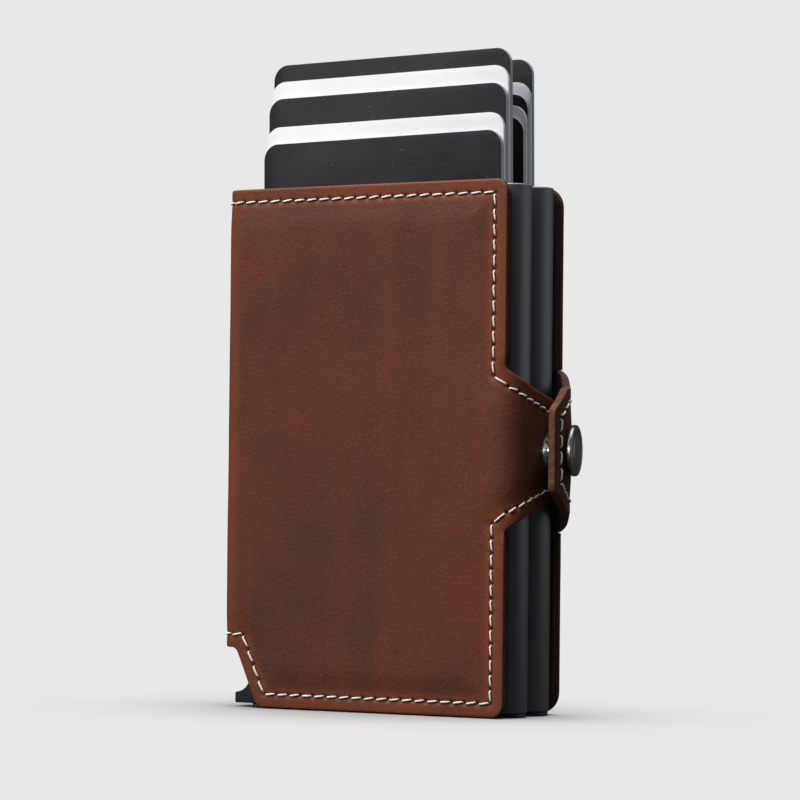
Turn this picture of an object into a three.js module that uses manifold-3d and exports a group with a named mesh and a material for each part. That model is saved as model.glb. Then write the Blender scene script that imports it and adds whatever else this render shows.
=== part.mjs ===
// Twin card wallet: two aluminium card protectors in a hand-stitched leather cover.
//
// Millimetres, +Z up. While the pieces are built, X runs across the wallet from the spine to the
// closure, Y runs from the front panel to the back panel, and Y = 0 lies between the two protectors.
// The last lines move the origin to the bottom centre of the whole wallet.
// The wallet stands with its cards raised, its cover closed and its snap fastened.

import * as THREE from 'three';
import { mergeVertices } from 'three/addons/utils/BufferGeometryUtils.js';
import Module from 'manifold-3d';

const wasm = await Module();
wasm.setup();

// ---- Driving dimensions ------------------------------------------------------------------------

const TOTAL_HEIGHT = 101;
const GAP = 0.05; // between pieces that lie flat against each other
const OVERCUT = 1; // how far a cutting tool reaches past what it cuts

const CARD = { width: 53.98, height: 85.6, thickness: 0.76, corner: 3.18, pitch: 0.8, tilt: 0.8 };
const CASE = { width: 63, depth: 8, wall: 0.9, bottom: 0.8, top: 100.4, mid: 4.1 };
const INSERT = { flange: 0.75, inset: 0.2, floor: 2.2, play: 0.15, overlap: 0.2 };
const CHEEK = { halfWidth: 27.3, top: 12.4, gap: 0.2 };
const LEVER_SLOT = { caseX: -27, insertX: -26.4, backPlay: 0.3 };
const LEVER = { pivotX: -24.5, pivotZ: 9, hub: 3.2, swing: 35, tipRise: 3.7, tipRadius: 1.2, slack: 0.55 };
const PIN = { radius: 1.0, play: 0.1, endGap: 0.1 };
const FELT = { halfWidth: 24, height: 5, lowerZ: 52, upperZ: 91 };
const PAD = { halfWidth: 24, bottom: 14, top: 92 };
const LEATHER = { thickness: 1.3, bottom: 0.15, outerY: 11, spineX: -34.06, rightX: 30.6 };
const LINING = { thickness: 1.0, inset: 0.2, lift: 0.1, corner: 3.5 };
const PANEL_CORNER = { front: 2.4, back: 4 };
const FOLD = { radius: 4.8, seam: 0.36 };
const NOTCH_TOP = 11.6; // the spine ends here, above the lever tips
const NOTCH = { edgeZ: 9.4, kneeX: -25.8, kneeZ: 2.6, cornerX: -24.7, endX: -22.6 };
const CLOSURE_Z = 50.25;
const STRAP = { outerX: 33.4, bend: 5, endY: 5.5, overlap: 4.4, rootHalf: 14 };
const TAB = { rootX: 29.2, thickness: 1.6, rootHalf: 14.6, play: 0.3 };
const SNAP = {
  capRadius: 4.87, shank: 1.2, play: 0.15, socketRadius: 2.4, socketHole: 1.7,
  studRadius: 3.3, studHole: 1.1, studOffset: 1.22,
};

// Half the strap and half the tab seen from the side: [y, half height] steps from the panel to the
// free end, some of them curved by way of a control point.
const STRAP_SIDE = [
  { to: [-12, 15] },
  { to: [-10.6, 15] },
  { via: [-9.4, 12.9], to: [-6.2, 12.2] },
  { to: [2.5, 9.6] },
  { via: [5.5, 8.8], to: [5.5, 6] },
];
const TAB_SIDE = [
  { to: [12, 14.6] },
  { to: [10.4, 14.6] },
  { via: [9, 12.4], to: [6.5, 12.3] },
  { to: [1.5, 11.8] },
  { to: [-5, 7.4] },
  { to: [-7, 7.2] },
];

// How far each card stands out of its protector when raised, from the front card to the rear one.
const CARD_LIFTS = {
  front: [11.4, 14.8, 20.5, 23.9, 27.3],
  rear: [14.6, 16.9, 19.1, 21.5, 26.0],
};
const STOWED_CARD_TOP = 99;

// The tab leaves the back panel and comes forward over the strap in three bends: [length, turn].
const TAB_BENDS = [[4.36, -50], [7.9, -20], [7.8, -20]];
const BENDS_TO_SNAP = 2;

// ---- Materials ---------------------------------------------------------------------------------

const MATERIALS = {
  leather: { color: 0x4a2216, roughness: 0.6, metalness: 0 },
  lining: { color: 0x2e1a14, roughness: 0.8, metalness: 0 },
  pad: { color: 0x202020, roughness: 0.9, metalness: 0 },
  aluminium: { color: 0x3f444a, roughness: 0.38, metalness: 0.9 },
  plastic: { color: 0x101010, roughness: 0.45, metalness: 0 },
  felt: { color: 0x2a2a2c, roughness: 1, metalness: 0 },
  steel: { color: 0x9a9a9a, roughness: 0.25, metalness: 1 },
  gunmetal: { color: 0x4a4d50, roughness: 0.3, metalness: 1 },
  blackCard: { color: 0x121214, roughness: 0.4, metalness: 0 },
  whiteCard: { color: 0xe4e2e0, roughness: 0.4, metalness: 0 },
  greyCard: { color: 0x8a8a92, roughness: 0.4, metalness: 0 },
};

// ---- Helpers -----------------------------------------------------------------------------------

const degrees = THREE.MathUtils.degToRad;
const wallet = new THREE.Group();

function addPiece(name, geometry, materialName) {
  const mesh = new THREE.Mesh(geometry, new THREE.MeshStandardMaterial(MATERIALS[materialName]));
  mesh.name = name;
  wallet.add(mesh);
}

function toSolid(geometry) {
  const bare = geometry.clone();
  bare.deleteAttribute('normal');
  bare.deleteAttribute('uv');
  const merged = mergeVertices(bare, 1e-4);
  const vertProperties = new Float32Array(merged.attributes.position.array);
  const triVerts = new Uint32Array(merged.index.array);
  return new wasm.Manifold(new wasm.Mesh({ numProp: 3, vertProperties, triVerts }));
}

function toGeometry(solid) {
  const mesh = solid.getMesh();
  const geometry = new THREE.BufferGeometry();
  geometry.setAttribute('position', new THREE.BufferAttribute(mesh.vertProperties, 3));
  geometry.setIndex(new THREE.BufferAttribute(mesh.triVerts, 1));
  return geometry;
}

function union(...geometries) {
  return toGeometry(geometries.map(toSolid).reduce((sum, solid) => sum.add(solid)));
}

function subtract(body, ...tools) {
  return toGeometry(tools.map(toSolid).reduce((rest, tool) => rest.subtract(tool), toSolid(body)));
}

function intersect(first, second) {
  return toGeometry(toSolid(first).intersect(toSolid(second)));
}

function box(x0, x1, y0, y1, z0, z1) {
  const geometry = new THREE.BoxGeometry(x1 - x0, y1 - y0, z1 - z0);
  return geometry.translate((x0 + x1) / 2, (y0 + y1) / 2, (z0 + z1) / 2);
}

// A plan outline (X, Y) raised from z0 to z1.
function raise(shape, z0, z1, curveSegments = 8) {
  const geometry = new THREE.ExtrudeGeometry(shape, { depth: z1 - z0, bevelEnabled: false, curveSegments });
  return geometry.translate(0, 0, z0);
}

// A front outline (X, Z) made thick from y0 to y1.
function thicken(shape, y0, y1, curveSegments = 5) {
  const geometry = new THREE.ExtrudeGeometry(shape, { depth: y1 - y0, bevelEnabled: false, curveSegments });
  return geometry.rotateX(Math.PI / 2).translate(0, y1, 0);
}

// A side outline (Y, Z) made wide from x0 to x1.
function widen(shape, x0, x1, curveSegments = 5) {
  const geometry = new THREE.ExtrudeGeometry(shape, { depth: x1 - x0, bevelEnabled: false, curveSegments });
  return geometry.rotateY(Math.PI / 2).rotateX(Math.PI / 2).translate(x0, 0, 0);
}

// A round rod along Y, for pins and their holes.
function rodAlongY(radius, x, z, y0, y1, segments = 20) {
  const geometry = new THREE.CylinderGeometry(radius, radius, y1 - y0, segments);
  return geometry.translate(x, (y0 + y1) / 2, z);
}

function roundedRectangle(x0, x1, z0, z1, radius) {
  const shape = new THREE.Shape();
  shape.moveTo(x0 + radius, z0);
  shape.lineTo(x1 - radius, z0);
  shape.absarc(x1 - radius, z0 + radius, radius, -Math.PI / 2, 0);
  shape.lineTo(x1, z1 - radius);
  shape.absarc(x1 - radius, z1 - radius, radius, 0, Math.PI / 2);
  shape.lineTo(x0 + radius, z1);
  shape.absarc(x0 + radius, z1 - radius, radius, Math.PI / 2, Math.PI);
  shape.lineTo(x0, z0 + radius);
  shape.absarc(x0 + radius, z0 + radius, radius, Math.PI, 1.5 * Math.PI);
  return shape;
}

// A slot outline with round ends, centred on X = 0.
function stadium(width, depth, midY) {
  const radius = depth / 2;
  const reach = width / 2 - radius;
  const shape = new THREE.Shape();
  shape.moveTo(-reach, midY - radius);
  shape.lineTo(reach, midY - radius);
  shape.absarc(reach, midY, radius, -Math.PI / 2, Math.PI / 2);
  shape.lineTo(-reach, midY + radius);
  shape.absarc(-reach, midY, radius, Math.PI / 2, 1.5 * Math.PI);
  return shape;
}

// The plan of a bent strip of leather. It starts at a point with a heading, follows bends given as
// [length, turn in degrees], and is as thick as given on its left (side 1) or right (side -1).
function bentStrip(start, heading, bends, thickness, side) {
  const outer = [];
  const inner = [];
  const point = start.clone();
  let angle = degrees(heading);
  const record = () => {
    outer.push(point.clone());
    const across = new THREE.Vector2(-Math.sin(angle), Math.cos(angle));
    inner.push(point.clone().addScaledVector(across, side * thickness));
  };
  record();
  for (const [length, turn] of bends) {
    const steps = Math.max(1, Math.ceil(Math.abs(turn) / 10));
    for (let step = 0; step < steps; step += 1) {
      const half = degrees(turn) / steps / 2;
      angle += half;
      const chord = half === 0 ? length / steps : (length / steps) * (Math.sin(half) / half);
      point.add(new THREE.Vector2(Math.cos(angle), Math.sin(angle)).multiplyScalar(chord));
      angle += half;
      record();
    }
  }
  const shape = new THREE.Shape(outer.concat(inner.reverse()));
  return { shape, end: point, heading: angle };
}

// ---- Card protectors ---------------------------------------------------------------------------

const CARDS_IN_PACK = 5;
const PACK_DEPTH = (CARDS_IN_PACK - 1) * CARD.pitch + CARD.thickness;
const PACK_CLEARANCE = 0.15;
const swing = degrees(LEVER.swing);

// Everything that depends on where a protector stands in depth.
function protectorPlan(name) {
  const midY = name === 'front' ? -CASE.mid : CASE.mid;
  const innerFront = midY - CASE.depth / 2 + CASE.wall;
  const innerBack = midY + CASE.depth / 2 - CASE.wall;
  const packFront = innerFront + PACK_CLEARANCE;
  const packBack = packFront + PACK_DEPTH;
  return { name, midY, innerFront, innerBack, packFront, packBack, lifts: CARD_LIFTS[name] };
}

// The lever leaves the case through the corner next to the spine, which is open at the front.
function leverSlot(plan, right) {
  const front = plan.midY - CASE.depth;
  return box(-CASE.width, right, front, plan.packBack + LEVER_SLOT.backPlay, -OVERCUT, NOTCH_TOP);
}

function caseShell(plan) {
  const tube = stadium(CASE.width, CASE.depth, plan.midY);
  tube.holes.push(stadium(CASE.width - 2 * CASE.wall, CASE.depth - 2 * CASE.wall, plan.midY));
  return subtract(raise(tube, CASE.bottom, CASE.top, 7), leverSlot(plan, LEVER_SLOT.caseX));
}

// The hole for the pivot pin, about the origin.
function pivotBore(y0, y1) {
  return rodAlongY(PIN.radius + PIN.play, 0, 0, y0 - OVERCUT, y1 + OVERCUT);
}

// The plastic end piece: a flange under the tube, a plug inside it, and a cheek behind the cards
// that holds the lever's pin.
function baseInsert(plan) {
  const flangeWidth = CASE.width - 2 * INSERT.inset;
  const plugWidth = CASE.width - 2 * CASE.wall - 2 * INSERT.play;
  const plugDepth = CASE.depth - 2 * CASE.wall - 2 * INSERT.play;
  const flange = raise(stadium(flangeWidth, CASE.depth - 2 * INSERT.inset, plan.midY), 0, INSERT.flange);
  const plugBottom = INSERT.flange - INSERT.overlap;
  const plug = raise(stadium(plugWidth, plugDepth, plan.midY), plugBottom, INSERT.floor);
  const cheekFront = plan.packBack + CHEEK.gap;
  const cheekBack = plan.innerBack - INSERT.play;
  const cheekBottom = INSERT.floor - INSERT.overlap;
  const cheek = box(-CHEEK.halfWidth, CHEEK.halfWidth, cheekFront, cheekBack, cheekBottom, CHEEK.top);
  const pinHole = pivotBore(cheekFront, cheekBack).translate(LEVER.pivotX, 0, LEVER.pivotZ);
  return subtract(union(flange, plug, cheek), pinHole, leverSlot(plan, LEVER_SLOT.insertX));
}

function pivotPin(plan) {
  const front = plan.packFront + PIN.endGap;
  return rodAlongY(PIN.radius, LEVER.pivotX, LEVER.pivotZ, front, plan.innerBack - 2 * PIN.endGap);
}

// One step of the lever, drawn with the cards stowed and the pivot at the origin. Its round tip
// pushes one card, and the further out the tip is, the higher that card goes.
function leverStep(lift) {
  const travel = lift - LEVER.slack;
  const reach = (travel + LEVER.tipRise * (1 - Math.cos(swing))) / Math.sin(swing);
  const tipZ = LEVER.tipRise - LEVER.tipRadius;
  const shape = new THREE.Shape();
  shape.moveTo(0, -LEVER.hub);
  shape.lineTo(reach, tipZ - LEVER.tipRadius);
  shape.absarc(reach, tipZ, LEVER.tipRadius, -Math.PI / 2, Math.PI / 2);
  shape.lineTo(0, LEVER.hub);
  shape.absarc(0, 0, LEVER.hub, Math.PI / 2, 1.5 * Math.PI);
  return shape;
}

// The finger piece, drawn with the cards raised and the pivot at the origin: a short arm from the
// hub down to a hooked tip that stands just outside the case.
function fingerPiece() {
  const shape = new THREE.Shape();
  shape.moveTo(-0.8, -4);
  shape.lineTo(0.5, 0);
  shape.lineTo(-2.4, 2);
  shape.lineTo(-4.2, -3);
  shape.quadraticCurveTo(-4.9, -6.0, -7.4, -6.25);
  shape.quadraticCurveTo(-7.8, -6.3, -7.8, -6.7);
  shape.lineTo(-7.8, -8.0);
  shape.quadraticCurveTo(-7.8, -8.4, -7.4, -8.4);
  shape.lineTo(-2.6, -8.4);
  return shape;
}

function lever(plan) {
  const steps = plan.lifts.map((lift, index) => {
    const front = plan.packFront + index * CARD.pitch;
    return thicken(leverStep(lift), front, plan.packBack, 6);
  });
  const arm = union(...steps).rotateY(-swing);
  const finger = thicken(fingerPiece(), plan.packFront, plan.packBack, 10);
  const bore = pivotBore(plan.packFront, plan.packBack);
  return subtract(union(arm, finger), bore).translate(LEVER.pivotX, 0, LEVER.pivotZ);
}

function card(plan, index) {
  const halfWidth = CARD.width / 2;
  const front = plan.packFront + index * CARD.pitch;
  const outline = roundedRectangle(-halfWidth, halfWidth, -CARD.height, 0, CARD.corner);
  const top = STOWED_CARD_TOP + plan.lifts[index];
  return thicken(outline, front, front + CARD.thickness, 5).rotateY(-degrees(CARD.tilt)).translate(0, 0, top);
}

// A strip of felt on the back wall that brakes the cards.
function feltStrip(plan, bottom) {
  const front = plan.packBack + PACK_CLEARANCE;
  return box(-FELT.halfWidth, FELT.halfWidth, front, plan.innerBack - GAP, bottom, bottom + FELT.height);
}

function addProtector(name, cardMaterials) {
  const plan = protectorPlan(name);
  addPiece(`${name}_case_shell`, caseShell(plan), 'aluminium');
  addPiece(`${name}_base_insert`, baseInsert(plan), 'plastic');
  addPiece(`${name}_pivot_pin`, pivotPin(plan), 'steel');
  addPiece(`${name}_lever`, lever(plan), 'plastic');
  addPiece(`${name}_felt_upper`, feltStrip(plan, FELT.upperZ), 'felt');
  addPiece(`${name}_felt_lower`, feltStrip(plan, FELT.lowerZ), 'felt');
  cardMaterials.forEach((material, index) => {
    addPiece(`${name}_card_${index + 1}`, card(plan, index), material);
  });
}

addProtector('front', ['blackCard', 'whiteCard', 'blackCard', 'whiteCard', 'blackCard']);
addProtector('rear', ['blackCard', 'greyCard', 'blackCard', 'greyCard', 'blackCard']);

// ---- Leather cover -----------------------------------------------------------------------------

const PANEL_LEFT = LEATHER.spineX + FOLD.radius + FOLD.seam;

// The outline of a cover panel. The corner next to the spine is cut away round the lever tip.
function panelOutline(right, top, bottom, cornerRadius) {
  const shape = new THREE.Shape();
  shape.moveTo(PANEL_LEFT, NOTCH.edgeZ);
  shape.lineTo(NOTCH.kneeX, NOTCH.kneeZ);
  shape.quadraticCurveTo(NOTCH.cornerX, bottom, NOTCH.endX, bottom);
  shape.lineTo(right - cornerRadius, bottom);
  shape.absarc(right - cornerRadius, bottom + cornerRadius, cornerRadius, -Math.PI / 2, 0);
  shape.lineTo(right, top - cornerRadius);
  shape.absarc(right - cornerRadius, top - cornerRadius, cornerRadius, 0, Math.PI / 2);
  shape.lineTo(PANEL_LEFT, top);
  return shape;
}

// A side outline (Y, Z) that is the same above and below the closure.
function sideOutline(steps) {
  const shape = new THREE.Shape();
  const follow = ([y, half], via, sign) => {
    const z = CLOSURE_Z + sign * half;
    if (via) {
      shape.quadraticCurveTo(via[0], CLOSURE_Z + sign * via[1], y, z);
    } else {
      shape.lineTo(y, z);
    }
  };
  const [startY, startHalf] = steps[0].to;
  shape.moveTo(startY, CLOSURE_Z + startHalf);
  steps.slice(1).forEach(({ to, via }) => follow(to, via, 1));
  follow(steps.at(-1).to, undefined, -1);
  for (let index = steps.length - 1; index > 0; index -= 1) {
    follow(steps[index - 1].to, steps[index].via, -1);
  }
  return shape;
}

function strap() {
  const startX = STRAP.outerX - STRAP.bend - STRAP.overlap;
  const bends = [
    [STRAP.overlap, 0],
    [STRAP.bend * Math.PI / 2, 90],
    [LEATHER.outerY - STRAP.bend + STRAP.endY, 0],
  ];
  const start = new THREE.Vector2(startX, -LEATHER.outerY);
  const strip = bentStrip(start, 0, bends, LEATHER.thickness, 1);
  const band = raise(strip.shape, CLOSURE_Z - STRAP.rootHalf, CLOSURE_Z + STRAP.rootHalf);
  return intersect(band, widen(sideOutline(STRAP_SIDE), startX - OVERCUT, STRAP.outerX + OVERCUT));
}

// A round rod along a direction in plan, for the snap's shanks and their holes.
function rodAlong(radius, point, bearing, from, to, segments = 20) {
  const geometry = new THREE.CylinderGeometry(radius, radius, to - from, segments);
  geometry.rotateZ(-Math.PI / 2).translate((from + to) / 2, 0, 0).rotateZ(bearing);
  return geometry.translate(point.x, point.y, CLOSURE_Z);
}

const tabStrip = bentStrip(new THREE.Vector2(TAB.rootX, LEATHER.outerY), 0, TAB_BENDS, TAB.thickness, -1);
const toSnap = bentStrip(
  new THREE.Vector2(TAB.rootX, LEATHER.outerY), 0, TAB_BENDS.slice(0, BENDS_TO_SNAP), TAB.thickness, -1);
const snapPoint = toSnap.end;
const snapBearing = toSnap.heading + Math.PI / 2;
const studPoint = new THREE.Vector2(STRAP.outerX, snapPoint.y - SNAP.studOffset);
const SHANK_REACH = 4; // a shank's hole is drawn this far to both sides of the leather's face

// The space that a panel or lining leaves free where the strap or the tab bends away from it.
function rootNotch(fromX, half) {
  const reach = LEATHER.outerY + OVERCUT;
  return box(fromX, LEATHER.rightX + OVERCUT, -reach, reach, CLOSURE_Z - half, CLOSURE_Z + half);
}

const strapRoot = rootNotch(STRAP.outerX - STRAP.bend, STRAP.rootHalf);
const tabRoot = rootNotch(TAB.rootX - TAB.play, TAB.rootHalf + TAB.play);

function frontPanel() {
  const outline = panelOutline(LEATHER.rightX, TOTAL_HEIGHT, LEATHER.bottom, PANEL_CORNER.front);
  const sheet = thicken(outline, -LEATHER.outerY, -LEATHER.outerY + LEATHER.thickness);
  const studHole = rodAlong(SNAP.studHole, studPoint, 0, -SHANK_REACH, SHANK_REACH);
  return subtract(union(subtract(sheet, strapRoot), strap()), studHole);
}

function backPanel() {
  const outline = panelOutline(LEATHER.rightX, TOTAL_HEIGHT, LEATHER.bottom, PANEL_CORNER.back);
  const sheet = thicken(outline, LEATHER.outerY - LEATHER.thickness, LEATHER.outerY);
  return subtract(sheet, tabRoot);
}

const LINING_OUTER_Y = LEATHER.outerY - LEATHER.thickness - GAP;
const LINING_INNER_Y = LINING_OUTER_Y - LINING.thickness;

function liningOutline() {
  const { inset, lift, corner } = LINING;
  return panelOutline(LEATHER.rightX - inset, TOTAL_HEIGHT - inset, LEATHER.bottom + lift, corner);
}

function spineBand(outerRadius, outerX, outerY, thickness) {
  const side = 2 * (outerY - outerRadius);
  const bends = [[outerRadius * Math.PI / 2, -90], [side, 0], [outerRadius * Math.PI / 2, -90]];
  const start = new THREE.Vector2(outerX + outerRadius, -outerY);
  const strip = bentStrip(start, 180, bends, thickness, -1);
  return raise(strip.shape, NOTCH_TOP, TOTAL_HEIGHT);
}

function closureTab() {
  const band = raise(tabStrip.shape, CLOSURE_Z - TAB.rootHalf, CLOSURE_Z + TAB.rootHalf);
  const side = widen(sideOutline(TAB_SIDE), TAB.rootX - OVERCUT, TAB.rootX + 2 * LEATHER.outerY);
  const shankHole = rodAlong(SNAP.shank + SNAP.play, snapPoint, snapBearing, -SHANK_REACH, SHANK_REACH);
  return subtract(intersect(band, side), shankHole);
}

function mountPad(y0, y1) {
  return box(-PAD.halfWidth, PAD.halfWidth, y0, y1, PAD.bottom, PAD.top);
}

function addCover() {
  const outer = LEATHER.outerY;
  addPiece('front_panel', frontPanel(), 'leather');
  const frontLining = thicken(liningOutline(), -LINING_OUTER_Y, -LINING_INNER_Y);
  addPiece('front_lining', subtract(frontLining, strapRoot), 'lining');
  addPiece('spine_leather', spineBand(FOLD.radius, LEATHER.spineX, outer, LEATHER.thickness), 'leather');
  const inset = outer - LINING_OUTER_Y;
  const liningX = LEATHER.spineX + inset;
  const spineLining = spineBand(FOLD.radius - inset, liningX, LINING_OUTER_Y, LINING.thickness);
  addPiece('spine_lining', spineLining, 'lining');
  addPiece('back_panel', backPanel(), 'leather');
  const backLining = thicken(liningOutline(), LINING_INNER_Y, LINING_OUTER_Y);
  addPiece('back_lining', subtract(backLining, tabRoot), 'lining');
  const padOuter = LINING_INNER_Y - GAP;
  const padInner = CASE.mid + CASE.depth / 2 + GAP;
  addPiece('front_mount_pad', mountPad(-padOuter, -padInner), 'pad');
  addPiece('back_mount_pad', mountPad(padInner, padOuter), 'pad');
  addPiece('closure_tab', closureTab(), 'leather');
}

addCover();

// ---- Snap fastener -----------------------------------------------------------------------------

// Turns a profile of [radius, height] about its axis, then lays that axis along a bearing in plan.
function turned(profile, point, bearing, segments = 28) {
  const points = profile.map(([radius, height]) => new THREE.Vector2(radius, height));
  const geometry = new THREE.LatheGeometry(points, segments);
  return geometry.rotateZ(-Math.PI / 2).rotateZ(bearing).translate(point.x, point.y, CLOSURE_Z);
}

function snapCap() {
  const radius = SNAP.capRadius;
  const profile = [
    [0, -TAB.thickness - 0.15], [SNAP.shank, -TAB.thickness - 0.15], [SNAP.shank, 0.1], [radius - 0.3, 0.1],
    [radius, 0.4], [radius, 0.8], [radius - 0.35, 1.15], [radius - 1.1, 1.28], [0, 1.35],
  ];
  return turned(profile, snapPoint, snapBearing);
}

function snapSocket() {
  const near = -TAB.thickness - 0.25;
  const far = near - 0.45;
  const { socketHole, socketRadius } = SNAP;
  const profile = [
    [socketHole, far], [socketRadius, far], [socketRadius, near], [socketHole, near], [socketHole, far],
  ];
  return turned(profile, snapPoint, snapBearing);
}

function snapStud() {
  const flange = turned([[0, GAP], [SNAP.studRadius, GAP], [SNAP.studRadius, 0.35], [0, 0.35]], studPoint, 0);
  const domeProfile = [[0, 0.25], [0.55, 0.25], [1.2, 0.8], [1.2, 1.4], [0.9, 1.7], [0, 1.75]];
  return union(flange, turned(domeProfile, studPoint, snapBearing, 20));
}

function snapStudPost() {
  const inner = -LEATHER.thickness;
  const profile = [
    [0, inner - 0.4], [2.4, inner - 0.4], [2.4, inner - GAP], [1, inner - GAP], [1, 0], [0, 0],
  ];
  return turned(profile, studPoint, 0, 20);
}

addPiece('snap_cap', snapCap(), 'gunmetal');
addPiece('snap_socket', snapSocket(), 'steel');
addPiece('snap_stud', snapStud(), 'steel');
addPiece('snap_stud_post', snapStudPost(), 'steel');

// ---- Origin ------------------------------------------------------------------------------------

const bounds = new THREE.Box3().setFromObject(wallet, true);
const centre = bounds.getCenter(new THREE.Vector3());
wallet.position.set(-centre.x, -centre.y, -bounds.min.z);

export default wallet;
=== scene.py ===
# Looks of the twin card wallet: leather cover, aluminium protectors, cards, levers and snap.
#
# Pieces are drawn in millimetres in the drawing frame, where X = 0 is the middle of the protectors
# and Y = 0 lies between them, and are then placed in the row frame in metres.

import math
from contextlib import contextmanager

import bmesh
import bpy
import numpy as np
from mathutils import Matrix, Vector, geometry, noise


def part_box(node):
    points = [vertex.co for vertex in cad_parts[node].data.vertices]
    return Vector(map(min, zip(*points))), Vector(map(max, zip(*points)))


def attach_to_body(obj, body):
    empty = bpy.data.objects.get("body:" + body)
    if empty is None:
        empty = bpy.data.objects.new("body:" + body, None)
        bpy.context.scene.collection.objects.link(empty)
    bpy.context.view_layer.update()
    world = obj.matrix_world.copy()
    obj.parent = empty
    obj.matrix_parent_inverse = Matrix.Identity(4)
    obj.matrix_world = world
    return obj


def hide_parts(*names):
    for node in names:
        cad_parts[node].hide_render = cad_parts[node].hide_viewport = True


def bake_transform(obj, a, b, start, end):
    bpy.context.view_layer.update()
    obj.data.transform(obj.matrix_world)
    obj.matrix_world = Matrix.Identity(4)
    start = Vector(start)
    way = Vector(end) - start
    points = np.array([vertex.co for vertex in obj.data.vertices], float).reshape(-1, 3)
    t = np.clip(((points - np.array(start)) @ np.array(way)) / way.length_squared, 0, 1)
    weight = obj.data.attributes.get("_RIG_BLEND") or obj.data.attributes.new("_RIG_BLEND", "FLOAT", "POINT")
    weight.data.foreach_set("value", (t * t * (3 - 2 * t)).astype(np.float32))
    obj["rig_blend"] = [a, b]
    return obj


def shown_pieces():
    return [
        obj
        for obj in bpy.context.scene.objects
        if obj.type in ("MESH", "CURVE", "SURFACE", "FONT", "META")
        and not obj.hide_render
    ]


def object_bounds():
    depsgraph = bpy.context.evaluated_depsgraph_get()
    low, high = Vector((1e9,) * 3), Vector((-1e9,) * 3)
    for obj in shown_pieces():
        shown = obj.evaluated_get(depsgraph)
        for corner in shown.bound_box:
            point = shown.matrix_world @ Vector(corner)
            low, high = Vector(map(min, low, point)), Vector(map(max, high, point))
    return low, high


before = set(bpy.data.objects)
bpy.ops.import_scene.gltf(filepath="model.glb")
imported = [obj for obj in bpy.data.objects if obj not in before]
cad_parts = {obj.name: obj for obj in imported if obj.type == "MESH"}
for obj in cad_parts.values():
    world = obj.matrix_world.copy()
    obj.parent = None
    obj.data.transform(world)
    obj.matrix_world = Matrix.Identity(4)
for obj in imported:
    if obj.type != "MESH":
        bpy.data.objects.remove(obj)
cad_low, cad_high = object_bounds()

MM = 0.001


def node_box(name):
    """Lowest and highest corner of a CAD node in millimetres of the row frame."""
    low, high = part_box(name)
    return low / MM, high / MM


case_low, case_high = node_box("front_case_shell")
spine_low, spine_high = node_box("spine_leather")
panel_low, panel_high = node_box("back_panel")
tab_low, tab_high = node_box("closure_tab")

CENTRE_X = (case_low.x + case_high.x) / 2
TO_ROW = Matrix.Translation((CENTRE_X * MM, 0, 0)) @ Matrix.Scale(MM, 4)

# ---- Sizes, in millimetres ----

TOP = spine_high.z
BOTTOM = panel_low.z
NOTCH_TOP = spine_low.z
OUTER_Y = panel_high.y
SPINE_X = spine_low.x - CENTRE_X
RIGHT_X = panel_high.x - CENTRE_X
CLOSURE_Z = (tab_low.z + tab_high.z) / 2
FOLD_RADIUS = 4.8
FOLD_FLAT = OUTER_Y - FOLD_RADIUS
FOLD_ARC = FOLD_RADIUS * math.pi / 2
FOLD_X = SPINE_X + FOLD_RADIUS
LEATHER = 1.3
LINING = 1.0
GLUE_LINE = 0.05

STRAP_X = 33.4
STRAP_BEND = 5.0
STRAP_END_Y = 5.5
STRAP_ROOT_X = STRAP_X - STRAP_BEND
TAB_ROOT_X = 29.2
TAB_SEAM_X = 29.0
TAB_LEATHER = 1.6
TAB_ROOT_HALF = 15.6
TAB_BENDS = [(TAB_ROOT_X - TAB_SEAM_X, 0), (4.36, -50), (7.9, -20), (7.8, -20)]
TAB_FOLD_END = (33.0, 9.2)
STEPS_TO_SNAP = 3
FRONT_CORNER, BACK_CORNER, LINING_CORNER = 2.4, 4.0, 3.4
PER_STITCH = 8

STITCH = {"inset": 2.55, "pitch": 2.85, "length": 2.3, "width": 0.36, "height": 0.3, "slant": 0.14}

CASE = {"width": 63, "depth": 8, "wall": 0.9, "bottom": 0.8, "top": 100.4, "mid": 4.1}
CARD = {"width": 53.98, "height": 85.6, "thickness": 0.76, "corner": 3.18, "pitch": 0.8, "tilt": 0.8}
CASE_NOTCH_X = -26.8
PACK_FRONT = 0.15
SNAP = {"cap": 4.87, "cap_tilt": -4, "shank": 1.2, "socket": 2.4, "hole": 1.7, "stud": 3.3}

rng = np.random.default_rng(11)

# ---- Shader helpers ----


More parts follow.
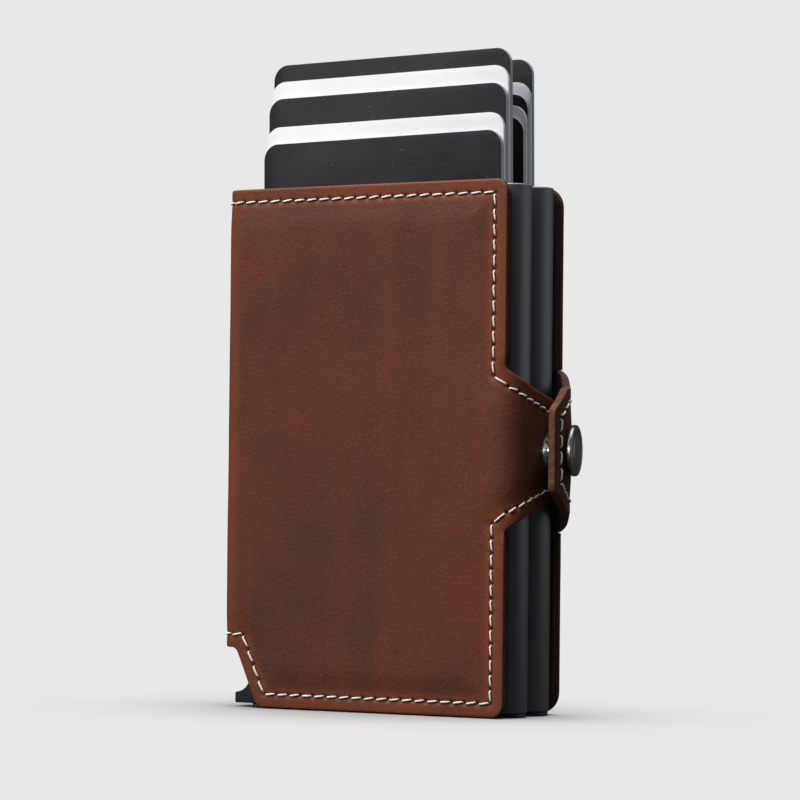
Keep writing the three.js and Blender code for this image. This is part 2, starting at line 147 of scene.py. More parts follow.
class Shader:
    """A material's node tree, with short ways to add the nodes that these materials share."""

    def __init__(self, name, **surface):
        self.material = bpy.data.materials.new(name)
        self.material.use_nodes = True
        self.nodes = self.material.node_tree.nodes
        self.links = self.material.node_tree.links
        self.surface = self.nodes["Principled BSDF"]
        for socket, value in surface.items():
            self.surface.inputs[socket.replace("_", " ")].default_value = value
        self.where = self.attribute("rest", "Vector")

    def add(self, kind, inputs=None, **settings):
        node = self.nodes.new(kind)
        for key, value in settings.items():
            setattr(node, key, value)
        for socket, value in (inputs or {}).items():
            self.plug(value, node.inputs[socket])
        return node

    def plug(self, value, socket):
        if isinstance(value, bpy.types.NodeSocket):
            self.links.new(value, socket)
        else:
            socket.default_value = value

    def stretched(self, scale):
        return self.add("ShaderNodeMapping", {"Vector": self.where, "Scale": scale}).outputs["Vector"]

    def noise(self, scale, detail=4.0, roughness=0.55, where=None, distortion=0.0):
        inputs = {"Vector": where or self.where, "Scale": scale, "Detail": detail,
                  "Roughness": roughness, "Distortion": distortion}
        return self.add("ShaderNodeTexNoise", inputs).outputs["Fac"]

    def cells(self, scale):
        return self.add("ShaderNodeTexVoronoi", {"Vector": self.where, "Scale": scale}).outputs["Distance"]

    def attribute(self, name, output="Fac"):
        return self.add("ShaderNodeAttribute", attribute_name=name).outputs[output]

    def spread(self, value, low, high, to_low=0.0, to_high=1.0):
        inputs = {0: value, 1: low, 2: high, 3: to_low, 4: to_high}
        return self.add("ShaderNodeMapRange", inputs).outputs[0]

    def ramp(self, value, stops):
        node = self.add("ShaderNodeValToRGB", {"Fac": value})
        elements = node.color_ramp.elements
        while len(elements) < len(stops):
            elements.new(0.5)
        for element, (position, colour) in zip(elements, stops):
            element.position = position
            element.color = (*colour, 1)
        return node.outputs["Color"]

    def combine(self, operation, first, second):
        return self.add("ShaderNodeMath", {0: first, 1: second}, operation=operation).outputs[0]

    def mix(self, share, first, second, blend="MIX"):
        node = self.add("ShaderNodeMix", data_type="RGBA", blend_type=blend)
        for socket, value in ((0, share), (6, first), (7, second)):
            self.plug((*value, 1) if isinstance(value, tuple) else value, node.inputs[socket])
        return node.outputs[2]

    def bump(self, height, strength, distance, below=None):
        inputs = {"Height": height, "Strength": strength, "Distance": distance}
        if below is not None:
            inputs["Normal"] = below
        return self.add("ShaderNodeBump", inputs).outputs["Normal"]

    def finish(self, colour, roughness, normal):
        for name, value in (("Base Color", colour), ("Roughness", roughness), ("Normal", normal)):
            self.plug(value, self.surface.inputs[name])
        return self.material


# ---- Materials ----


def scaled(colour, factor, plus=0.0, limit=1.0):
    return tuple(min(limit, factor * part + plus) for part in colour)


def vintage_leather(name, deep, middle, warm):
    """Waxed pull-up leather: cloudy browns, lighter and warmer where it is bent or pulled."""
    shader = Shader(name, Specular_IOR_Level=0.2)
    clouds = shader.noise(34, 5, 0.5, distortion=0.7)
    colour = shader.ramp(clouds, [(0.25, deep), (0.52, middle), (0.8, warm)])
    smears = shader.noise(42, 6, 0.6, shader.stretched((1.6, 1.6, 0.22)), 0.3)
    colour = shader.mix(shader.spread(smears, 0.46, 0.72, 0, 0.65), colour, warm)
    grain = shader.noise(1900, 8, 0.75, shader.stretched((0.7, 0.7, 1.25)), 0.8)
    colour = shader.mix(shader.spread(grain, 0.38, 0.62, 0.42, 0.1), colour, deep, "MULTIPLY")
    worn = shader.attribute("worn")
    patchy = shader.combine("MULTIPLY", worn, shader.spread(clouds, 0.3, 0.65, 0.5, 1))
    colour = shader.mix(patchy, colour, scaled(warm, 1.35))
    flecks = shader.spread(shader.noise(1500, 2, 0.5), 0.70, 0.76, 0, 0.5)
    colour = shader.mix(flecks, colour, scaled(warm, 1.7))
    # Painted shade: the leather turns near black in and round each stitch hole, standing in for the holes'
    # shadow.
    colour = shader.mix(shader.attribute("hole"), colour, (0.004, 0.002, 0.001))
    pores = shader.cells(1350)
    normal = shader.bump(shader.noise(260, 5, 0.6), 0.14, 0.0002)
    normal = shader.bump(pores, 0.35, 0.00009, normal)
    normal = shader.bump(grain, 0.45, 0.00008, normal)
    return shader.finish(colour, shader.spread(clouds, 0.3, 0.7, 0.6, 0.48), normal)


def raw_edge(name, dark, light):
    """The cut edge of the leather: matt and fibrous, with dark specks."""
    shader = Shader(name, Specular_IOR_Level=0.25)
    fibres = shader.noise(900, 8, 0.75)
    colour = shader.ramp(fibres, [(0.35, dark), (0.66, light)])
    specks = shader.spread(shader.noise(2300, 3, 0.6), 0.6, 0.68, 0, 0.6)
    colour = shader.mix(specks, colour, scaled(dark, 0.35))
    normal = shader.bump(fibres, 0.7, 0.0003)
    return shader.finish(colour, shader.spread(fibres, 0.3, 0.7, 0.7, 0.9), normal)


def suede(name, dark, light):
    """The flesh side of the leather, with a short nap."""
    shader = Shader(name, Specular_IOR_Level=0.15, Sheen_Weight=0.25, Sheen_Roughness=0.6)
    nap = shader.noise(1700, 8, 0.8)
    brushed = shader.noise(60, 5, 0.6, shader.stretched((1, 1, 0.4)), 0.8)
    colour = shader.ramp(brushed, [(0.35, dark), (0.68, light)])
    colour = shader.mix(shader.spread(nap, 0.35, 0.65, 0.5, 0), colour, dark, "MULTIPLY")
    return shader.finish(colour, shader.spread(nap, 0.3, 0.7, 0.85, 0.95), shader.bump(nap, 0.6, 0.0002))


def anodised():
    """Dark grey anodised tube, drawn along its height and then bead-blasted."""
    shader = Shader("anodised_aluminium", Metallic=0.85, Specular_IOR_Level=0.5)
    drawn = shader.noise(420, 4, 0.6, shader.stretched((1, 1, 0.02)))
    blasted = shader.noise(5200, 3, 0.6)
    handled = shader.noise(55, 5, 0.6, distortion=0.5)
    colour = shader.ramp(drawn, [(0.25, (0.106, 0.117, 0.130)), (0.75, (0.130, 0.142, 0.157))])
    colour = shader.mix(shader.spread(handled, 0.55, 0.8, 0, 0.25), colour, (0.16, 0.17, 0.19))
    colour = shader.mix(shader.attribute("worn"), colour, (0.30, 0.31, 0.33))
    rough = shader.combine("ADD", shader.spread(handled, 0.3, 0.7, 0.46, 0.52),
                           shader.spread(drawn, 0.3, 0.7, 0, 0.03))
    normal = shader.bump(blasted, 0.12, 0.00003, shader.bump(drawn, 0.05, 0.00003))
    return shader.finish(colour, rough, normal)


def moulded(name, colour, rough):
    """Moulded plastic with a fine spark-eroded texture."""
    shader = Shader(name, Specular_IOR_Level=0.3)
    texture = shader.noise(3000, 4, 0.6)
    rubbed = shader.noise(130, 5, 0.6, distortion=0.4)
    shade = shader.ramp(rubbed, [(0.4, colour), (0.75, scaled(colour, 1.9, 0.004))])
    return shader.finish(shade, shader.spread(rubbed, 0.3, 0.7, rough, rough + 0.14),
                         shader.bump(texture, 0.25, 0.00004))


def felt_material():
    shader = Shader("felt", Specular_IOR_Level=0.1, Sheen_Weight=0.5, Sheen_Roughness=0.5)
    fibres = shader.noise(1500, 8, 0.8, shader.stretched((0.35, 1, 1)), 1.5)
    colour = shader.ramp(fibres, [(0.35, (0.02, 0.02, 0.022)), (0.7, (0.085, 0.085, 0.09))])
    return shader.finish(colour, shader.spread(fibres, 0.3, 0.7, 0.88, 1), shader.bump(fibres, 0.9, 0.0003))


def foam_material():
    shader = Shader("adhesive_foam", Specular_IOR_Level=0.3)
    skin = shader.cells(1900)
    colour = shader.ramp(skin, [(0.0, (0.012, 0.012, 0.012)), (0.7, (0.05, 0.05, 0.05))])
    return shader.finish(colour, shader.spread(skin, 0, 0.8, 0.95, 0.75), shader.bump(skin, 0.6, 0.0001))


def metal(name, colour, rough, turned=0.1):
    """Plated or ground metal with faint turning marks."""
    shader = Shader(name, Metallic=1.0)
    marks = shader.noise(900, 6, 0.65, shader.stretched((1, 1, 0.15)))
    stain = shader.noise(300, 4, 0.6, distortion=0.5)
    shade = shader.ramp(stain, [(0.35, colour), (0.75, scaled(colour, 1.25))])
    return shader.finish(shade, shader.spread(marks, 0.3, 0.7, rough, rough + 0.1),
                         shader.bump(marks, turned, 0.00004))


def card_stock(name, colour, rough, edge):
    """Laminated card: a satin print under fine scuffs, with its pale core showing at the edges."""
    shader = Shader(name, Specular_IOR_Level=0.14)
    scuffs = shader.noise(900, 6, 0.7, shader.stretched((0.2, 1, 1.2)), 0.6)
    cloud = shader.noise(70, 4, 0.6)
    shade = shader.ramp(cloud, [(0.3, colour), (0.75, scaled(colour, 1.12, 0.012, 0.95))])
    dust = shader.spread(shader.noise(1900, 2, 0.5), 0.735, 0.77, 0, 0.35)
    shade = shader.mix(dust, shade, (0.35, 0.35, 0.35))
    shade = shader.mix(shader.attribute("worn"), shade, edge)
    return shader.finish(shade, shader.spread(scuffs, 0.35, 0.7, rough, rough + 0.12),
                         shader.bump(scuffs, 0.08, 0.00002))


def thread_material():
    """Waxed linen thread: cream, with a few darker fibres."""
    shader = Shader("waxed_thread", Specular_IOR_Level=0.4, Sheen_Weight=0.2)
    fibres = shader.noise(2600, 6, 0.7)
    tone = shader.noise(160, 3, 0.5)
    colour = shader.ramp(tone, [(0.35, (0.96, 0.91, 0.82)), (0.7, (0.98, 0.96, 0.90))])
    colour = shader.mix(shader.spread(fibres, 0.35, 0.6, 0.15, 0), colour, (0.5, 0.38, 0.27))
    rough = shader.spread(fibres, 0.3, 0.7, 0.55, 0.75)
    return shader.finish(colour, rough, shader.bump(fibres, 0.5, 0.0001))


LEATHER_BROWN = vintage_leather(
    "leather", (0.098, 0.042, 0.031), (0.148, 0.049, 0.029), (0.225, 0.058, 0.024))
TAB_BROWN = vintage_leather(
    "tab_leather", (0.070, 0.026, 0.017), (0.110, 0.040, 0.025), (0.150, 0.052, 0.030))
COVER_EDGE = raw_edge("cover_raw_edge", (0.060, 0.023, 0.014), (0.150, 0.058, 0.032))
TAB_EDGE = raw_edge("tab_raw_edge", (0.075, 0.031, 0.019), (0.20, 0.088, 0.050))
LINING_EDGE = raw_edge("lining_raw_edge", (0.030, 0.015, 0.010), (0.075, 0.036, 0.022))
FLESH = suede("flesh_side", (0.045, 0.022, 0.015), (0.085, 0.045, 0.031))
LINING_SUEDE = suede("lining_suede", (0.028, 0.015, 0.011), (0.062, 0.034, 0.025))
ALUMINIUM = anodised()
BLACK_PLASTIC = moulded("black_plastic", (0.009, 0.009, 0.010), 0.42)
FELT = felt_material()
FOAM = foam_material()
GROUND_STEEL = metal("ground_steel", (0.50, 0.50, 0.51), 0.22)
NICKEL = metal("polished_nickel", (0.86, 0.85, 0.83), 0.24, 0.04)
GUNMETAL = metal("gunmetal", (0.17, 0.178, 0.172), 0.27, 0.15)
THREAD = thread_material()
CARD_STOCKS = {
    "card_black": card_stock("card_black", (0.016, 0.017, 0.018), 0.32, (0.32, 0.35, 0.39)),
    "card_white": card_stock("card_white", (0.84, 0.845, 0.86), 0.36, (0.62, 0.65, 0.70)),
    "card_grey": card_stock("card_grey", (0.74, 0.74, 0.83), 0.36, (0.52, 0.54, 0.60)),
}

# ---- Mesh helpers ----

TURNED_SEGMENTS = 72
HARD_EDGE, PLATE_EDGE = 35, 50  # degrees, over which an edge of a part is left sharp


def placed(name, data):
    """An object for some data, linked into the scene."""
    item = bpy.data.objects.new(name, data)
    bpy.context.scene.collection.objects.link(item)
    return item


@contextmanager
def editing(mesh):
    """The mesh's editable form, which is written back at the end."""
    shape = bmesh.new()
    shape.from_mesh(mesh)
    yield shape
    shape.to_mesh(mesh)
    shape.free()


def new_piece(name, points, faces, materials, which=None, sharp=40, values=None):
    """A mesh piece from points in the drawing frame, with its rest place kept for the materials."""
    mesh = bpy.data.meshes.new(name)
    mesh.from_pydata([tuple(point) for point in points], [], [tuple(face) for face in faces])
    for label, data in (values or {}).items():
        layer = mesh.attributes.new(label, "FLOAT", "POINT")
        layer.data.foreach_set("value", np.asarray(data, np.float32))
    for material in materials:
        mesh.materials.append(material)
    if which is not None:
        mesh.polygons.foreach_set("material_index", np.asarray(which, np.int32))
    with editing(mesh) as shape:
        bmesh.ops.recalc_face_normals(shape, faces=shape.faces)
    piece = placed(name, mesh)
    mesh.transform(TO_ROW)
    finish_surface(mesh, sharp)
    return piece


def finish_surface(mesh, sharp):
    """Smooth shading up to an angle, and the rest attribute that the materials read."""
    mesh.shade_smooth()
    mesh.set_sharp_from_angle(angle=math.radians(sharp))
    rest = mesh.attributes.get("rest") or mesh.attributes.new("rest", "FLOAT_VECTOR", "POINT")
    rest.data.foreach_set("vector", [part for vertex in mesh.vertices for part in vertex.co])
    mesh.update()


def attach(piece, body, node):
    """The piece rides on a body and stands for a CAD node."""
    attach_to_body(piece, body)
    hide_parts(node)


def smooth_step(value, low, high):
    share = np.clip((value - low) / (high - low), 0, 1)
    return share * share * (3 - 2 * share)


def rotation(angle):
    return np.array([[math.cos(angle), -math.sin(angle)], [math.sin(angle), math.cos(angle)]])


def filleted(corners, step=0.5):
    """An open line through corners given as (u, v, radius), with arcs at the rounded ones."""
    points = [np.array(corners[0][:2], float)]
    for before, corner, after in zip(corners, corners[1:], corners[2:]):
        here = np.array(corner[:2], float)
        back = np.array(before[:2], float) - here
        ahead = np.array(after[:2], float) - here
        back /= np.linalg.norm(back)
        ahead /= np.linalg.norm(ahead)
        half = math.acos(np.clip(back @ ahead, -1, 1)) / 2
        radius = corner[2]
        if radius == 0:
            points.append(here)
            continue
        reach = radius / math.tan(half)
        centre = here + (back + ahead) / np.linalg.norm(back + ahead) * radius / math.sin(half)
        first = here + back * reach - centre
        last = here + ahead * reach - centre
        turn = math.atan2(first[0] * last[1] - first[1] * last[0], first @ last)
        count = max(2, int(abs(turn) * radius / step) + 1)
        for part in range(count + 1):
            points.append(centre + rotation(turn * part / count) @ first)
    points.append(np.array(corners[-1][:2], float))
    return np.array(points)


def points_at(lengths, line, at):
    """Points of a line at some distances along it."""
    return np.stack([np.interp(at, lengths, line[:, k]) for k in (0, 1)], axis=-1)


def resampled(line, step):
    """Points at an even step along an open line."""
    lengths = np.r_[0, np.cumsum(np.linalg.norm(np.diff(line, axis=0), axis=1))]
    count = max(1, round(lengths[-1] / step))
    return points_at(lengths, line, np.linspace(0, lengths[-1], count + 1))


def distance_to(line, points):
    """Distance of each point to an open line."""
    start, end = line[:-1], line[1:]
    along = end - start
    shares = np.einsum("psk,sk->ps", points[:, None] - start, along) / np.einsum("sk,sk->s", along, along)
    nearest = start + np.clip(shares, 0, 1)[..., None] * along
    return np.linalg.norm(points[:, None] - nearest, axis=2).min(1)


def inside(polygon, points):
    """True for each point inside a closed polygon."""
    x, y = points[:, 0, None], points[:, 1, None]
    a, b = polygon, np.roll(polygon, -1, axis=0)
    crosses = (a[:, 1] > y) != (b[:, 1] > y)
    slope = (b[:, 0] - a[:, 0]) / np.where(b[:, 1] == a[:, 1], 1e-9, b[:, 1] - a[:, 1])
    return (crosses & (x < a[:, 0] + slope * (y - a[:, 1]))).sum(1) % 2 == 1


def left_normals(line):
    along = np.gradient(line, axis=0)
    along /= np.linalg.norm(along, axis=1)[:, None]
    return np.stack([-along[:, 1], along[:, 0]], axis=1)


def ring_normals(ring):
    """Left normals of a closed line."""
    return left_normals(np.vstack([ring[-1:], ring, ring[:1]]))[1:-1]


def inset_line(line, inset):
    """The free edge line moved inwards. The inside is on its left."""
    moved = line + left_normals(line) * inset
    return moved[distance_to(line, moved) > inset - 0.02]


def capped_tube(rows, count, first=0):
    """Faces of a tube whose points lie in rows round it, with a flat cap at each end."""
    faces = []
    for row in range(rows - 1):
        for k in range(count):
            a = first + row * count + k
            b = first + row * count + (k + 1) % count
            faces.append((a, b, b + count, a + count))
    last = first + (rows - 1) * count
    return faces + [tuple(range(first, first + count)), tuple(range(last, last + count))]


def ring_faces(turns, rows):
    """Faces between closed profiles of so many rows that follow each other round a ring."""
    faces = []
    for k in range(turns):
        a, b = k * rows, (k + 1) % turns * rows
        for row in range(rows):
            after = (row + 1) % rows
            faces.append((a + row, b + row, b + after, a + after))
    return faces


def slab(name, outline, y0, y1, bevel, material, worn_edge=False):
    """A flat plate: a closed (x, z) outline made thick from y0 to y1, with rounded edges."""
    normals = ring_normals(outline)
    turns = np.linspace(0, math.pi / 2, 4)
    quarter = [(bevel * (1 - math.sin(turn)), bevel * (1 - math.cos(turn))) for turn in turns]
    rows = [(inset, y0 + depth) for inset, depth in quarter]
    rows += [(inset, y1 - depth) for inset, depth in reversed(quarter)]
    points = [(x, y, z) for inset, y in rows for x, z in outline + normals * inset]
    count = len(outline)
    faces = capped_tube(len(rows), count)
    worn = np.zeros((len(rows), count))
    if worn_edge:
        worn[1:-1] = 1
    return new_piece(name, points, faces, [material], sharp=PLATE_EDGE, values={"worn": worn.ravel()})


def rounded_rectangle(x0, x1, z0, z1, radius, per_corner=10):
    """A closed outline, anticlockwise in (x, z)."""
    points = []
    left, right, low, high = x0 + radius, x1 - radius, z0 + radius, z1 - radius
    for x, z, start in ((right, low, -90), (right, high, 0), (left, high, 90), (left, low, 180)):
        for angle in np.radians(np.linspace(start, start + 90, per_corner + 1)):
            points.append((x + radius * math.cos(angle), z + radius * math.sin(angle)))
    return np.array(points)


def stadium(width, depth, mid_y, per_end=40, per_side=24):
    """A slot outline with round ends as points and outward normals, anticlockwise in plan."""
    radius = depth / 2
    reach = width / 2 - radius
    rows = []
    for sign in (1, -1):
        for angle in np.linspace(-math.pi / 2, math.pi / 2, per_end + 1):
            normal = np.array([math.cos(angle), math.sin(angle)]) * sign
            rows.append((np.array([sign * reach, mid_y]) + radius * normal, normal))
        for share in np.linspace(0, 1, per_side + 1)[1:-1]:
            place = np.array([sign * reach * (1 - 2 * share), mid_y + sign * radius])
            rows.append((place, np.array([0.0, sign])))
    return rows


def swept_ring(name, path, profile, material, worn_rows):
    """A closed profile of (inset, z) points swept round a closed plan path."""
    points = [(*(place - normal * inset), z) for place, normal in path for inset, z in profile]
    faces = ring_faces(len(path), len(profile))
    worn = [1.0 if row in worn_rows else 0.0 for _ in path for row in range(len(profile))]
    return new_piece(name, points, faces, [material], sharp=PLATE_EDGE, values={"worn": worn})


def turned_piece(name, profile, point, bearing, material, ticks=None):
    """A profile of (radius, height) points turned about an axis that lies along a bearing.

    ticks is (inner radius, outer radius, depth) of a ring of small radial grooves.
    """
    axis = np.array([math.cos(bearing), math.sin(bearing), 0])
    across = np.array([-math.sin(bearing), math.cos(bearing), 0])
    centre = np.array([point[0], point[1], CLOSURE_Z])
    points = []
    for number, angle in enumerate(np.linspace(0, 2 * math.pi, TURNED_SEGMENTS, endpoint=False)):
        out = math.cos(angle) * across + np.array([0, 0, math.sin(angle)])
        for radius, height in profile:
            if ticks and number % 2 and ticks[0] < radius < ticks[1] and height > 0:
                height -= ticks[2]
            points.append(centre + height * axis + radius * out)
    faces = ring_faces(TURNED_SEGMENTS, len(profile))
    piece = new_piece(name, points, faces, [material], sharp=HARD_EDGE)
    with editing(piece.data) as shape:
        bmesh.ops.remove_doubles(shape, verts=shape.verts, dist=1e-7)
        bmesh.ops.dissolve_degenerate(shape, edges=shape.edges, dist=1e-8)
    finish_surface(piece.data, HARD_EDGE)
    return piece


def refined(node, name, material, bevel):
    """A CAD node's shape again, with rounded edges."""
    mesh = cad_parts[node].data.copy()
    mesh.materials.clear()
    mesh.materials.append(material)
    with editing(mesh) as shape:
        bmesh.ops.remove_doubles(shape, verts=shape.verts, dist=1e-6)
        bmesh.ops.dissolve_limit(shape, angle_limit=math.radians(1), verts=shape.verts, edges=shape.edges)
    for layer in [a.name for a in mesh.attributes if a.name.startswith(("custom_normal", "UVMap"))]:
        mesh.attributes.remove(mesh.attributes[layer])
    mesh.name = name
    piece = placed(name, mesh)
    rounding = piece.modifiers.new("rounding", "BEVEL")
    rounding.width = bevel * MM
    rounding.segments = 2
    rounding.limit_method = "ANGLE"
    rounding.angle_limit = math.radians(HARD_EDGE)
    finish_surface(mesh, HARD_EDGE)
    return piece


def cut_box(piece, across, through, upright):
    """Cuts a box out of a piece, given by its two ends along each axis of the drawing frame."""
    corners = [(x, y, z) for x in across for y in through for z in upright]
    faces = [(0, 1, 3, 2), (4, 6, 7, 5), (0, 4, 5, 1), (2, 3, 7, 6), (0, 2, 6, 4), (1, 5, 7, 3)]
    tool = new_piece("cutter", corners, faces, [])
    cut = piece.modifiers.new("cut", "BOOLEAN")
    cut.operation = "DIFFERENCE"
    cut.solver = "EXACT"
    cut.object = tool
    bpy.context.view_layer.update()
    result = bpy.data.meshes.new_from_object(piece.evaluated_get(bpy.context.evaluated_depsgraph_get()))
    piece.modifiers.clear()
    old = piece.data
    piece.data = result
    result.name = old.name
    bpy.data.meshes.remove(old)
    bpy.data.objects.remove(tool)
    finish_surface(result, PLATE_EDGE)


# ---- Leather ----

# A leather sheet is drawn flat in (u, v): u runs along the leather and v is the height. A surface
# function bends it: it takes u, v and the height h over the outer face and gives points in space.

STRAP_BLEND = (15.0, 17.6)  # half heights between which the strap's bend passes into the flat panel
U_FOLD_END = FOLD_FLAT + FOLD_ARC


def u_at(x):
    """How far along the leather the flat panel's x is."""
    return U_FOLD_END + x - FOLD_X


U_STRAP = u_at(STRAP_ROOT_X)
U_TAB_SEAM = u_at(TAB_SEAM_X)
U_RIGHT = u_at(RIGHT_X)
STRAP_ARC = STRAP_BEND * math.pi / 2
STRAP_STRAIGHT = OUTER_Y - STRAP_BEND + STRAP_END_Y


def cover_plan(u):
    """Plan place and outward normal of the front cover without its strap, from the spine's middle."""
    turn = np.clip((u - FOLD_FLAT) / FOLD_RADIUS, 0, math.pi / 2)
    normal = np.stack([-np.cos(turn), -np.sin(turn)], axis=-1)
    x = FOLD_X + FOLD_RADIUS * normal[..., 0] + np.maximum(u - U_FOLD_END, 0)
    y = -FOLD_FLAT + FOLD_RADIUS * normal[..., 1] + np.maximum(FOLD_FLAT - u, 0)
    return np.stack([x, y], axis=-1), normal


def strap_plan(u):
    """Plan place and outward normal where the strap bends round the side."""
    place, normal = cover_plan(u)
    on = u > U_STRAP
    turn = np.clip((u - U_STRAP) / STRAP_BEND, 0, math.pi / 2)
    bent_normal = np.stack([np.sin(turn), -np.cos(turn)], axis=-1)
    x = STRAP_ROOT_X + STRAP_BEND * bent_normal[..., 0]
    y = -OUTER_Y + STRAP_BEND * (1 + bent_normal[..., 1]) + np.maximum(u - U_STRAP - STRAP_ARC, 0)
    bent = np.stack([x, y], axis=-1)
    return np.where(on[..., None], bent, place), np.where(on[..., None], bent_normal, normal)


def lifted(place, normal, v, h):
    """Points at height h over an upright plan line."""
    plan = place + normal * np.asarray(h)[..., None]
    return np.concatenate([plan, np.asarray(v)[..., None]], axis=-1)


def front_surface(u, v, h):
    flat, flat_normal = cover_plan(u)
    bent, bent_normal = strap_plan(u)
    share = 1 - smooth_step(np.abs(v - CLOSURE_Z), *STRAP_BLEND)[..., None]
    normal = flat_normal + (bent_normal - flat_normal) * share
    normal = normal / np.linalg.norm(normal, axis=-1, keepdims=True)
    return lifted(flat + (bent - flat) * share, normal, v, h)


def back_surface(u, v, h):
    place, normal = cover_plan(u)
    return lifted(place * (1, -1), normal * (1, -1), v, h)


def bent_path(start, bends):
    """Plan places and headings along a strip of leather that follows bends of (length, degrees)."""
    lengths, places, headings = [0.0], [np.array(start, float)], [0.0]
    for length, turn in bends:
        steps = max(1, int(length / 0.2))
        for _ in range(steps):
            middle = headings[-1] + math.radians(turn) / steps / 2
            step = length / steps * np.array([math.cos(middle), math.sin(middle)])
            places.append(places[-1] + step)
            headings.append(headings[-1] + math.radians(turn) / steps)
            lengths.append(lengths[-1] + length / steps)
    return np.array(lengths), np.array(places), np.array(headings)


TAB_LENGTHS, TAB_PLACES, TAB_HEADINGS = bent_path((TAB_SEAM_X, OUTER_Y), TAB_BENDS)


def tab_surface(u, v, h):
    heading = np.interp(u, TAB_LENGTHS, TAB_HEADINGS)
    ahead = np.stack([np.cos(heading), np.sin(heading)], axis=-1)
    normal = np.stack([-np.sin(heading), np.cos(heading)], axis=-1)
    over = np.maximum(u - TAB_LENGTHS[-1], 0)[..., None]
    return lifted(points_at(TAB_LENGTHS, TAB_PLACES, u) + over * ahead, normal, v, h)


STRAP_CORNERS = [  # (u, half height, corner radius) from the strap's end back to the panel's edge
    (U_STRAP + STRAP_ARC + STRAP_STRAIGHT, 8.9, 3.0),
    (U_STRAP + 14.5, 10.1, 12.0),
    (U_STRAP + 7.6, 12.1, 14.0),
    (U_STRAP + 4.0, 14.0, 6.0),
    (U_RIGHT, 15.2, 0.5),
]
TAB_CORNERS = [  # (u from the tab's seam, half height, corner radius) from the free end to the panel
    (TAB_LENGTHS[-1], 7.6, 1.0),
    (13.9, 11.7, 1.5),
    (7.4, 12.1, 3.0),
    (4.4, 14.1, 1.5),
    (U_RIGHT - U_TAB_SEAM, 15.5, 1.2),
]
NOTCH_CORNERS = [(u_at(-24.6), BOTTOM, 2.0), (u_at(-29.7), NOTCH_TOP, 1.6)]


def both_halves(upper, shift=0):
    """Corners below the closure and then above it, from corners of the upper half."""
    lower = [(u + shift, CLOSURE_Z - half, radius) for u, half, radius in reversed(upper)]
    return lower + [(u + shift, CLOSURE_Z + half, radius) for u, half, radius in upper]


def free_corners(right, top_corner, closure=()):
    """A cover half's free edge, from the spine's middle at the bottom round to its middle at the top."""
    corners = [(0, NOTCH_TOP, 0), *reversed(NOTCH_CORNERS), (right, BOTTOM, top_corner)]
    return corners + [*closure, (right, TOP, top_corner), (0, TOP, 0)]


def mitred(corners, inset):
    """The line that runs inside an outline's corners, with sharp corners of its own."""
    points = np.array([corner[:2] for corner in corners], float)
    along = np.diff(points, axis=0)
    along /= np.linalg.norm(along, axis=1)[:, None]
    left = np.stack([-along[:, 1], along[:, 0]], axis=1)
    moved = [points[0] + left[0] * inset]
    for corner, before, after in zip(points[1:-1], left, left[1:]):
        moved.append(corner + (before + after) * inset / (1 + before @ after))
    moved.append(points[-1] + left[-1] * inset)
    return np.array(moved)


def stitch_line(corners):
    """Points along the stitch line, so many per stitch, with a hole at each of its corners."""
    line = mitred(corners, STITCH["inset"])
    points = [line[:1]]
    for start, end in zip(line, line[1:]):
        stitches = max(1, round(np.linalg.norm(end - start) / STITCH["pitch"]))
        shares = np.linspace(0, 1, stitches * PER_STITCH + 1)[1:, None]
        points.append(start + (end - start) * shares)
    return np.vstack(points)


SHEET_RINGS = (0.12, 0.3, 0.6, 1.05, 1.6, 3.35, 3.9, 4.6, 5.5, 6.6)  # rows of points, from the edge in
STITCH_ROWS = (-0.55, -0.28, 0.0, 0.28, 0.55)  # rows of points across the stitch line
EDGE_ROWS = (0.2, 0.4, 0.6, 0.8)  # rows of points down the raw edge, as shares of its thickness
GRID, GRID_MARGIN = 1.5, 0.6
EDGE_DROP, EDGE_LIFT, EDGE_REACH = 0.12, 0.1, 0.13
GROOVE_DEPTH, GROOVE_REACH = 0.12, 0.45
HOLE_DEPTH, HOLE_REACH = 0.4, 0.34
WAVINESS = 0.04
FIELD_INSET = 8.0


def triangulated(edge, stitches):
    """Flat points and triangles inside a free edge that is closed by a straight seam."""
    border = resampled(edge, 0.5)
    seam = resampled(np.array([border[-1], border[0]]), 0.75)[1:-1]
    outline = np.vstack([border, seam])
    extra = [inset_line(border, inset) for inset in SHEET_RINGS]
    if stitches is not None:
        across = left_normals(stitches)
        extra += [stitches + across * row for row in STITCH_ROWS]
    low, high = outline.min(0), outline.max(0)
    columns = np.arange(low[0] + GRID_MARGIN, high[0], GRID)
    levels = np.arange(low[1], high[1], GRID)
    grid = np.stack(np.meshgrid(columns, levels), -1).reshape(-1, 2)
    extra.append(grid[distance_to(border, grid) > SHEET_RINGS[-1] + GRID_MARGIN])
    extra = np.vstack(extra)
    extra = extra[inside(outline, extra)]
    extra = extra[distance_to(np.vstack([outline, outline[:1]]), extra) > 0.1]
    points = [Vector(point) for point in np.vstack([outline, extra])]
    loop = list(range(len(outline)))
    found = geometry.delaunay_2d_cdt(points, [], [loop], 1, 1e-5)
    flat = np.array([tuple(point) for point in found[0]])
    place_of = {old: new for new, olds in enumerate(found[3]) for old in olds}
    return flat, found[2], [place_of[k] for k in loop], border


def bell(distance, reach, power=2):
    """1 at no distance, falling to nothing over the reach."""
    return np.exp(-((distance / reach) ** power))


def wander(points, size, seed):
    """Smooth noise at flat points, from -1 to 1, for the unevenness of leather."""
    return np.array([noise.noise(Vector((u / size, v / size, seed))) for u, v in points])


